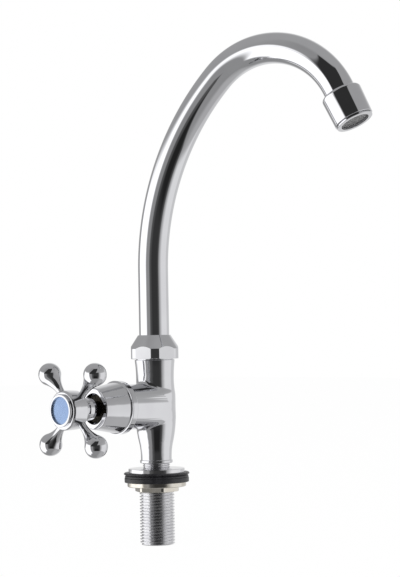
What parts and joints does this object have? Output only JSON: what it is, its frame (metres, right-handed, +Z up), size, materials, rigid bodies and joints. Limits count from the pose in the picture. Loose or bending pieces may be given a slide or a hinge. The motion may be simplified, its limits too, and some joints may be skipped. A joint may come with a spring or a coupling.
{
  "type": "sink tap",
  "caption": "Cold-water pillar tap for a sink, with a cross handle on its side, a swivelling swan-neck spout and a threaded inlet shank with its backnut.",
  "frame": {"origin": "on the tap's vertical axis at the worktop's upper face, the underside of the deck gasket", "axes": "+Z up along the tap's axis, the handle's axis along -X, the spout at rest turned 15 degrees from -Y towards +X"},
  "size_m": [0.1213, 0.1708, 0.3013],
  "materials": {
    "chrome": "polished",
    "plated_shank": "satin nickel plate",
    "brass": "machined",
    "black_rubber": "matte",
    "fibre": "matte",
    "white_nylon": "matte",
    "steel_mesh": "satin",
    "blue_disc": "gloss"
  },
  "bodies": {
    "body": {"tap_body": "chrome", "threaded_shank": "plated_shank", "deck_gasket": "black_rubber", "headwork_body": "brass", "headwork_seal": "fibre", "gland_packing": "fibre", "gland_nut": "brass", "shroud": "chrome", "spout_nut": "chrome"},
    "spout": {"spout_tube": "chrome", "spout_tail": "brass", "spout_o_rings": "black_rubber", "spout_slip_ring": "white_nylon", "spout_nozzle": "chrome", "aerator_ring": "chrome", "aerator_cartridge": "white_nylon", "aerator_mesh": "steel_mesh", "aerator_washer": "black_rubber"},
    "valve": {"jumper": "brass", "seat_washer": "black_rubber", "seat_washer_nut": "brass"},
    "handle": {"spindle": "brass", "cross_handle": "chrome", "handle_screw": "brass", "index_cap": "chrome", "index_disc": "blue_disc"},
    "clamp": {"under_gasket": "black_rubber"},
    "backnut": {"backnut": "brass"}
  },
  "joints": [
    {"name": "spout_swivel", "type": "hinge", "parent": "body", "child": "spout", "pos_m": [0, 0, 0.07], "axis": [0, 0, 1], "continuous": true},
    {"name": "valve_lift", "type": "slide", "parent": "body", "child": "valve", "axis": [-1, 0, 0], "range_m": [0, 0.004]},
    {"name": "handle_turn", "type": "hinge", "parent": "valve", "child": "handle", "pos_m": [-0.07, 0, 0.0431], "axis": [-1, 0, 0], "range_deg": [0, 720]},
    {"name": "clamp_travel", "type": "slide", "parent": "body", "child": "clamp", "axis": [0, 0, -1], "range_m": [0, 0.0273]},
    {"name": "backnut_turn", "type": "hinge", "parent": "clamp", "child": "backnut", "pos_m": [0, 0, -0.005], "axis": [0, 0, -1], "range_deg": [0, 5400]}
  ],
  "couplings": [
    {"joint": "valve_lift", "follows": "handle_turn", "m_per_rad": 0.0003183},
    {"joint": "clamp_travel", "follows": "backnut_turn", "m_per_rad": 0.0002887}
  ]
}
